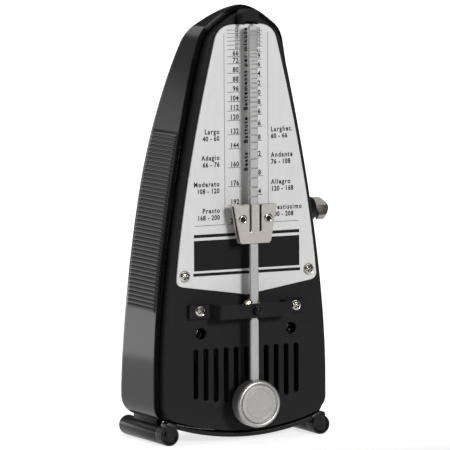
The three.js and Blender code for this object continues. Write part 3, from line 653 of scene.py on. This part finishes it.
def cross_screw(name, node, head_r, head_h, shank_r, mat, slot, turn):
    """A domed head with a cross recess pressed into it, on a plain shank."""
    low, high = local_box(node)
    middle = (low + high) / 2
    sides, rows = 72, 18
    verts, faces = [], []
    seat = low.y + head_h
    for row in range(rows + 1):
        f = row / rows
        for i in range(sides):
            a = 2 * math.pi * i / sides
            r = head_r * f
            u, v = r * math.cos(a), r * math.sin(a)
            dome = head_h * (1 - 0.35 * f * f - 0.65 * f ** 6)
            s, c = math.sin(turn), math.cos(turn)
            p, q = u * c - v * s, u * s + v * c
            arm = min(max((0.34 - min(abs(p), abs(q))) / 0.16, 0), 1)
            reach = min(max((head_r * 0.62 - max(abs(p), abs(q))) / 0.25, 0), 1)
            dome -= 0.8 * head_h * arm * reach
            verts.append(place(middle.x + u, seat - dome, middle.z + v))
    for row in range(rows):
        for i in range(sides):
            a, b = row * sides + i, row * sides + (i + 1) % sides
            faces.append((a, b, b + sides, a + sides))
    base = rows * sides
    for depth, r in ((0, shank_r), (high.y - seat, shank_r)):
        ring = len(verts)
        for i in range(sides):
            a = 2 * math.pi * i / sides
            verts.append(place(middle.x + r * math.cos(a), seat + depth, middle.z + r * math.sin(a)))
        for i in range(sides):
            a, b = base + i, base + (i + 1) % sides
            faces.append((a, b, ring + (i + 1) % sides, ring + i))
        base = ring
    faces.append(tuple(range(base, base + sides)))
    mesh = bpy.data.meshes.new(name)
    mesh.from_pydata(verts, [], faces)
    return piece(name, tidy(mesh), mat, slot, "case", node, sharp=40)


def pivot_screw():
    low, high = local_box("bridge_pivot_screw")
    middle = front_centre("bridge_pivot_screw")
    profile = [(0, 0), (0.5, 0.02), (0.9, 0.1), (1.25, 0.32), (1.5, 0.65), (1.56, 1.0), (1.56, 2.3),
               (1.4, 2.42), (1.0, 2.45), (1.0, high.y - low.y), (0, high.y - low.y)]
    return piece("pivot_screw", turned(profile, middle), GLOSS, "gloss_black", "case",
                 "bridge_pivot_screw", sharp=50)


# ---- pendulum ---------------------------------------------------------------------------------
def rod_strip(name, node, ends, notches, neck):
    """A flat strip with bevelled long edges, rounded ends and fine notches across its front."""
    low, high = local_box(node)
    z0, z1 = ends
    front, back, half, b = low.y, high.y, 1.75, 0.32
    levels = {z0: 0.75, z0 + 0.15: 0.35, z0 + 0.4: 0.1, z0 + 0.7: 0, z1 - 0.7: 0, z1 - 0.4: 0.1,
              z1 - 0.15: 0.35, z1: 0.75}
    rows = [(z, shrink, 0.0) for z, shrink in levels.items()]
    for z in notches:
        if z0 + 1.2 < z < z1 - 1.2:
            rows += [(z - 0.24, 0, 0.0), (z - 0.1, 0, 0.28), (z + 0.1, 0, 0.28), (z + 0.24, 0, 0.0)]
    rows.sort()
    rings = []
    for z, shrink, nick in rows:
        w = half - shrink
        rings.append([(-w, back, z), (-w, front + b, z), (-w + b, front + nick, z), (w - b, front + nick, z),
                      (w, front + b, z), (w, back, z)])
    join = box_mesh((-1.1, front + 0.02, neck[0]), (1.1, back, neck[1]), 0.1)
    return piece(name, merged(skin(rings), join), ROD_STEEL, "rod_steel", "pendulum", node, sharp=20)


def bob():
    low, high = local_box("bob")
    middle = front_centre("bob")
    r = (high.x - low.x) / 2
    thick = high.y - low.y
    profile = [(0, 0.12), (2, 0.12), (4.6, 0.12), (5.1, 0.12), (5.2, 0.17), (5.45, 0.17), (5.55, 0.12),
               (5.7, 0.12), (6.7, 0.12), (6.85, 0.14), (7.0, 0.3),
               (7.1, 0.42), (7.25, 0.3), (7.4, 0.08), (7.75, 0.0), (8.1, 0.1), (r - 0.3, 0.32),
               (r - 0.08, 0.6), (r, 0.95), (r, thick - 0.8), (r - 0.15, thick - 0.35),
               (r - 0.7, thick), (0, thick)]
    return piece("bob_disc", turned(profile, middle, sides=128), SATIN_NICKEL, "nickel", "pendulum",
                 "bob", sharp=18)


def hub():
    low, high = local_box("pendulum_hub")
    middle = front_centre("pendulum_hub")
    r, thick = (high.x - low.x) / 2, high.y - low.y
    profile = [(0, 0), (r - 0.5, 0), (r - 0.15, 0.15), (r, 0.5), (r, thick - 0.4), (r - 0.4, thick),
               (0, thick)]
    return piece("hub_boss", turned(profile, middle), PALE_BRASS, "brass", "pendulum", "pendulum_hub",
                 sharp=40)


WEIGHT = {"half_bottom": 6.2, "hole_x": 5.2, "hole_z": 82.4, "hole_r": 1.15}
SLIT = {"x": 2.05, "half": 0.38, "length": 9.6}


def weight_outline():
    low, high = local_box("weight_front_plate")
    return [(-WEIGHT["half_bottom"], low.z), (WEIGHT["half_bottom"], low.z), (high.x, high.z),
            (-high.x, high.z)]


def weight_plate(name, node, slits):
    low, high = local_box(node)
    holes = [circle(side * WEIGHT["hole_x"], WEIGHT["hole_z"], WEIGHT["hole_r"], 24) for side in (-1, 1)]
    edge = rounded(weight_outline(), [1.1, 1.1, 0.7, 0.7], 5)
    if slits:
        # two slits run down from the top edge and free the spring tongue between them
        cuts = []
        for side in (1, -1):
            x, half = side * SLIT["x"], SLIT["half"]
            cuts += [(x + half, high.z), *arc(x, high.z - SLIT["length"], half, 0, -180, 6),
                     (x - half, high.z)]
        # they go in behind the last point of the right top corner
        at = next(i for i, (x, z) in enumerate(edge) if z >= high.z - 1e-6 and x < 8.2)
        while edge[at][0] > 2.5 and at + 1 < len(edge) and edge[at + 1][0] > 2.5:
            at += 1
        edge = edge[:at + 1] + cuts + edge[at + 1:]
    mesh = prism([edge, *holes], low.y, high.y, 0.14)
    return piece(name, mesh, WEIGHT_NICKEL, "nickel", "tempo_weight", node, sharp=20)


def eyelet(name, node):
    low, high = local_box(node)
    middle = front_centre(node)
    r = 1.72
    length = high.y - low.y
    profile = [(0.82, 0.5), (0.88, 0.2), (1.05, 0.04), (1.3, 0.0), (1.56, 0.1), (r, 0.3), (1.5, 0.42),
               (1.12, 0.42), (1.12, length - 0.42), (1.5, length - 0.42), (r, length - 0.25),
               (1.5, length - 0.05), (1.2, length), (0.9, length - 0.2), (0.82, length - 0.5)]
    rings = []
    for radius, along in profile + profile[:1]:
        rings.append([(middle[0] + radius * math.cos(2 * math.pi * i / 40), middle[1] + along,
                       middle[2] + radius * math.sin(2 * math.pi * i / 40)) for i in range(40)])
    # a dark plug inside the eyelet: painted shade in its hole
    plug = turned([(0, 0.55), (0.6, 0.5), (0.84, 0.5), (0.84, 0.9), (0, 0.9)], middle, sides=32)
    piece(f"{name}_bore_painted_shade", plug, PRINT_AND_SHADE_BLACK, "matt_black", "tempo_weight", sharp=40)
    return piece(name, skin(rings, caps=False), NICKEL, "nickel", "tempo_weight", node, sharp=50)


def weight_felt():
    """A dark strip of painted shade between the plates, seen through the front plate's slits."""
    face = local_box("weight_rear_plate")[0].y
    mesh = box_mesh((-3.4, face - 0.16, 76.6), (3.4, face + 0.05, 87.2), 0.06)
    return piece("weight_felt", mesh, PRINT_AND_SHADE_BLACK, "matt_black", "tempo_weight", sharp=30)


# ---- feet and base frame ----------------------------------------------------------------------
FOOT = {"x": 31.1, "r": 3.65}


def foot(name, node, side):
    low, high = local_box(node)
    r, x = FOOT["r"], side * FOOT["x"]
    length = high.y - low.y
    profile = [(0, 0), (r - 0.25, 0), (r, 0.25), (r, length - 1.3), (r - 0.2, length - 0.7),
               (r - 0.65, length - 0.2), (r - 1.3, length), (2.3, length), (2.1, length - 0.6),
               (0, length - 0.6)]
    bar_mesh = turned(profile, (x, low.y, r), sides=64)
    flatten(bar_mesh)
    neck = box_mesh((x - 1.3, 9, r), (x + 1.3, 28.5, 10.5), 0.4, "z")
    return piece(name, merged(bar_mesh, neck), FOOT_BLACK, "gloss_black", "case", node, sharp=40)


def flatten(mesh):
    """Lays the lowest line of a round foot on the ground."""
    for vertex in mesh.vertices:
        vertex.co.z = max(vertex.co.z, cad_low.z + 0.02 * MM)


def base_frame():
    front = local_box("base_frame")[0].y
    rim_low, rim_top, bend, end = 1.48, 3.08, 0.0055, 27.4

    def height(x, base):
        return base + bend * x * x

    xs = [end * (i / 20 - 1) for i in range(41)]
    lower = [(x, height(x, rim_low)) for x in xs]
    upper = [(x, height(x, rim_top)) for x in reversed(xs)]
    parts = [prism([lower + upper], front, 9, 0.25)]
    for side in (-1, 1):
        web = [(27.6, 3.4), (32.8, 3.4), (32.85, 8.1), (31.1, 8.85), (26.8, height(26.8, rim_top)),
               (28.4, height(28.4, rim_low))]
        shape = rounded(web, [0.3, 0.3, 0.5, 0.5, 0.2, 0.4], 3)
        if side < 0:
            shape = [(-x, z) for x, z in reversed(shape)]
        parts.append(prism([shape], front, 4.6, 0.25))
        r, x = FOOT["r"], side * FOOT["x"]
        profile = [(0, 0.75), (2.2, 0.75), (2.5, 0.6), (2.75, 0.15), (3.0, 0), (3.3, 0.05), (r - 0.08, 0.3),
                   (r, 0.6), (r, 5.6), (r - 0.1, 5.7), (0, 5.7)]
        cap = turned(profile, (x, front, r), sides=64)
        flatten(cap)
        parts.append(cap)
    return piece("base_rim", merged(*parts), GLOSS_SATIN, "gloss_black", "case", "base_frame", sharp=24)


# ---- winding key ------------------------------------------------------------------------------
def key_bush():
    low, high = local_box("key_bush")
    middle = (low.x, (low.y + high.y) / 2, (low.z + high.z) / 2)
    length = high.x - low.x
    profile = [(2.0, 0), (4.4, 0), (4.4, length - 0.5), (4.2, length - 0.15), (3.9, length), (2.2, length),
               (2.0, length - 0.2), (2.0, 0)]
    rings = []
    for radius, along in profile:
        rings.append([(middle[0] + along, middle[1] + radius * math.cos(2 * math.pi * i / 48),
                       middle[2] + radius * math.sin(2 * math.pi * i / 48)) for i in range(48)])
    return piece("bush_ring", skin(rings, caps=False), GLOSS, "gloss_black", "case", "key_bush", sharp=40)


KEY = {"half": 4.3, "thick": 1.95, "turn": 46, "lead": 0.2, "shoulder": 37.6, "edge": 39.4}


def winding_key():
    """A flat blade with a D-shaped outline and a low ridge along the axis on both faces."""
    low, high = local_box("winding_key")
    mid_y, mid_z = (low.y + high.y) / 2, (low.z + high.z) / 2
    half, edge, crown, start = KEY["half"], KEY["edge"], high.x, low.x + KEY["lead"]
    turn = math.radians(KEY["turn"])
    side = quad((half, KEY["shoulder"]), (half - 0.1, edge - 0.5), (half - 1.3, edge), 8)
    top = quad((half - 1.3, edge), (0, 2 * crown - edge), (-half + 1.3, edge), 14)[1:-1]
    other = [(-w, x) for w, x in reversed(side)]
    outline_points = [(half, start)] + side + top + other + [(-half, start)]
    rings = []
    for shrink, height in ((0.55, -1.0), (0.2, -0.94), (0.0, -0.8), (0.0, 0.0), (0.0, 0.8), (0.2, 0.94),
                           (0.55, 1.0)):
        ring = []
        for w, x in outline_points:
            across = w * (half - shrink) / half
            along = start + (x - start) * (1 - shrink / (crown - low.x))
            t = KEY["thick"] * height * (1 - 0.2 * abs(across) / half)
            ring.append((along, mid_y + across * math.cos(turn) - t * math.sin(turn),
                         mid_z + across * math.sin(turn) + t * math.cos(turn)))
        rings.append(ring)
    body = skin(rings, caps=False)
    for ring, thick in ((rings[0], -KEY["thick"]), (rings[-1], KEY["thick"])):
        ridge = [(x, mid_y - thick * math.sin(turn), mid_z + thick * math.cos(turn))
                 for x in (start, crown - 0.5)]
        fill_ridge(body, ring, ridge)
    return piece("key_blade", tidy(body), KEY_METAL, "key_metal", "winding", "winding_key", sharp=14)


def fill_ridge(mesh, ring, ridge):
    """Closes one broad face of the key with two facets that meet in a ridge along its axis."""
    verts = [v.co.copy() for v in mesh.vertices]
    faces = [tuple(p.vertices) for p in mesh.polygons]
    base, count = len(verts), len(ring)
    verts += [place(*p) for p in ring] + [place(*p) for p in ridge]
    inner_end, outer_end = base + count, base + count + 1
    middle = base + count // 2
    faces.append((inner_end, *range(base, middle), outer_end))
    faces.append((outer_end, *range(middle, base + count), inner_end))
    mesh.clear_geometry()
    mesh.from_pydata(verts, [], faces)


# ---- the model --------------------------------------------------------------------------------
case_shell()
front_panel()
scale_plate()
scale_print()
bridge()
catch()
pivot_screw()
for label, turn in (("left", 0.5), ("right", 0.9)):
    cross_screw(f"plate_screw_{label}_head", f"plate_screw_{label}", 2.2, 1.3, 0.8, NICKEL, "nickel", turn)
    cross_screw(f"bridge_screw_{label}_head", f"bridge_screw_{label}", 2.2, 1.4, 0.8, NICKEL, "nickel", -turn)
    cross_screw(f"case_screw_{label}_head", f"case_screw_{label}", 1.8, 1.2, 0.8, BLUED, "blued_steel", turn)
    eyelet(f"eyelet_{label}_rim", f"weight_eyelet_{label}")
foot("foot_left_bar", "foot_left", -1)
foot("foot_right_bar", "foot_right", 1)
base_frame()
NOTCHES = [tick_height(tempo) for tempo in RIGHT_TEMPI + LEFT_TEMPI]
rod_strip("rod_upper_strip", "upper_rod", (52, local_box("upper_rod")[1].z), NOTCHES,
          (local_box("upper_rod")[0].z, 53))
rod_strip("rod_lower_strip", "lower_rod", (local_box("lower_rod")[0].z, 45.6), [], (44.6, 47.6))
bob()
hub()
weight_plate("weight_front_sheet", "weight_front_plate", True)
weight_plate("weight_rear_sheet", "weight_rear_plate", False)
weight_felt()
key_bush()
winding_key()

for subpart in frame["record"]["subparts"]:
    node = frame["nodes"][subpart["node"]]
    node.data.materials.clear()
    node.data.materials.append(SLOT_FINISH[subpart["material_slot"]])


# ---- room, lights and camera ------------------------------------------------------------------
def level_ramp(mat, axis, low, high, stops, interpolation="LINEAR"):
    """A grey ramp between two places along one axis of a stage sheet. stops are (share, level)."""
    nodes, links = mat.node_tree.nodes, mat.node_tree.links
    coords = nodes.new("ShaderNodeTexCoord")
    split = nodes.new("ShaderNodeSeparateXYZ")
    spread = nodes.new("ShaderNodeMapRange")
    spread.inputs["From Min"].default_value = low
    spread.inputs["From Max"].default_value = high
    ramp = nodes.new("ShaderNodeValToRGB")
    ramp.color_ramp.interpolation = interpolation
    while len(ramp.color_ramp.elements) < len(stops):
        ramp.color_ramp.elements.new(0.5)
    for element, (share, level) in zip(ramp.color_ramp.elements, stops):
        element.position = share
        element.color = (level, level, level, 1)
    links.new(coords.outputs["Object"], split.inputs["Vector"])
    links.new(split.outputs[axis], spread.inputs["Value"])
    links.new(spread.outputs["Result"], ramp.inputs["Fac"])
    return ramp.outputs["Color"]


def stage_sheet(name, corners, mat):
    mesh = bpy.data.meshes.new(name)
    mesh.from_pydata(corners, [], [(0, 1, 2, 3)])
    mesh.materials.append(mat)
    obj = bpy.data.objects.new(name, mesh)
    bpy.context.scene.collection.objects.link(obj)
    return obj


def floor(reach, height):
    """The floor: pale and lit from below behind the object, plain pale in front of it."""
    mat = bpy.data.materials.new("floor")
    mat.use_nodes = True
    shader = mat.node_tree.nodes["Principled BSDF"]
    shader.inputs["Base Color"].default_value = (0.55, 0.55, 0.55, 1)
    shader.inputs["Roughness"].default_value = 0.9
    shader.inputs["Specular IOR Level"].default_value = 0.1
    shader.inputs["Emission Strength"].default_value = 1
    glow = level_ramp(mat, "Y", -0.2, 1.8, ((0.0, 0.0), (0.02, 0.0), (0.09, 0.74), (0.2, 0.74), (0.5, 1.0)))
    mat.node_tree.links.new(glow, shader.inputs["Emission Color"])
    return stage_sheet("floor", [(-reach, -reach, height), (reach, -reach, height), (reach, reach, height),
                                 (-reach, reach, height)], mat)


def backdrop(spot, along, width, height):
    """A glowing sheet behind the left side, out of the view. The gloss side mirrors its bands."""
    mat = bpy.data.materials.new("side_backdrop")
    mat.use_nodes = True
    nodes, links = mat.node_tree.nodes, mat.node_tree.links
    nodes.clear()
    emission = nodes.new("ShaderNodeEmission")
    emission.inputs["Strength"].default_value = 4.0
    out = nodes.new("ShaderNodeOutputMaterial")
    stops = ((0.0, 0.7), (0.07, 0.7), (0.1, 0.11), (0.2, 0.18), (0.26, 0.42), (0.3, 0.3), (0.37, 0.1),
             (0.45, 0.1), (0.55, 0.4), (0.8, 0.4), (1.0, 0.2))
    links.new(level_ramp(mat, "Z", 0, height, stops, "EASE"), emission.inputs["Color"])
    links.new(emission.outputs["Emission"], out.inputs["Surface"])
    half, rise = along.normalized() * width / 2, Vector((0, 0, height))
    corners = [spot - half, spot + half, spot + half + rise, spot - half + rise]
    obj = stage_sheet("side_backdrop", corners, mat)
    obj.visible_camera = False
    return obj


def area_light(name, spot, aim, width, height, power):
    data = bpy.data.lights.new(name, "AREA")
    data.shape = "RECTANGLE"
    data.size, data.size_y = width, height
    data.energy = power
    obj = bpy.data.objects.new(name, data)
    obj.location = spot
    obj.rotation_mode = "QUATERNION"
    obj.rotation_quaternion = (Vector(aim) - Vector(spot)).to_track_quat("-Z", "Y")
    bpy.context.scene.collection.objects.link(obj)
    return obj


floor(9, cad_low.z)
backdrop(Vector((-0.3097, 0.2161, 0)), Vector((0.89, 0.45, 0)), 0.6, 0.5)

world = bpy.data.worlds.new("studio")
bpy.context.scene.world = world
world.use_nodes = True
world.node_tree.nodes["Background"].inputs["Color"].default_value = (1, 1, 1, 1)
world.node_tree.nodes["Background"].inputs["Strength"].default_value = 0.1

area_light("key_front", (0.22, -1.65, 0.6), (0, 0, 0.08), 0.36, 0.36, 23)
area_light("top", (0, 1.0, 2.4), (0, 1.0, 0), 3.0, 3.0, 48)

scene = bpy.context.scene
scene.view_settings.view_transform = "Standard"
scene.view_settings.look = "None"

CAMERA = {"azimuth": -26.855, "elevation": 5.889, "roll": -0.349, "distance": 1763, "lens": 386.4,
          "left": 7.55, "down": 0.54, "aim": (0, 0, 80)}
azimuth, elevation = math.radians(CAMERA["azimuth"]), math.radians(CAMERA["elevation"])
back = Vector((math.sin(azimuth) * math.cos(elevation), -math.cos(azimuth) * math.cos(elevation),
               math.sin(elevation)))
right = Vector((math.cos(azimuth), math.sin(azimuth), 0))
up = back.cross(right)
turn = Matrix((right, up, back)).transposed().to_4x4()
turn = turn @ Matrix.Rotation(math.radians(CAMERA["roll"]), 4, "Z")
camera_data = bpy.data.cameras.new("camera")
camera_data.lens = CAMERA["lens"]
camera_data.sensor_width = 36
camera_data.clip_start = 0.05
camera_data.clip_end = 60
camera = bpy.data.objects.new("camera", camera_data)
turn.translation = (place(*CAMERA["aim"]) + back * CAMERA["distance"] * MM
                    - right * CAMERA["left"] * MM - up * CAMERA["down"] * MM)
camera.matrix_world = turn
scene.collection.objects.link(camera)
scene.camera = camera
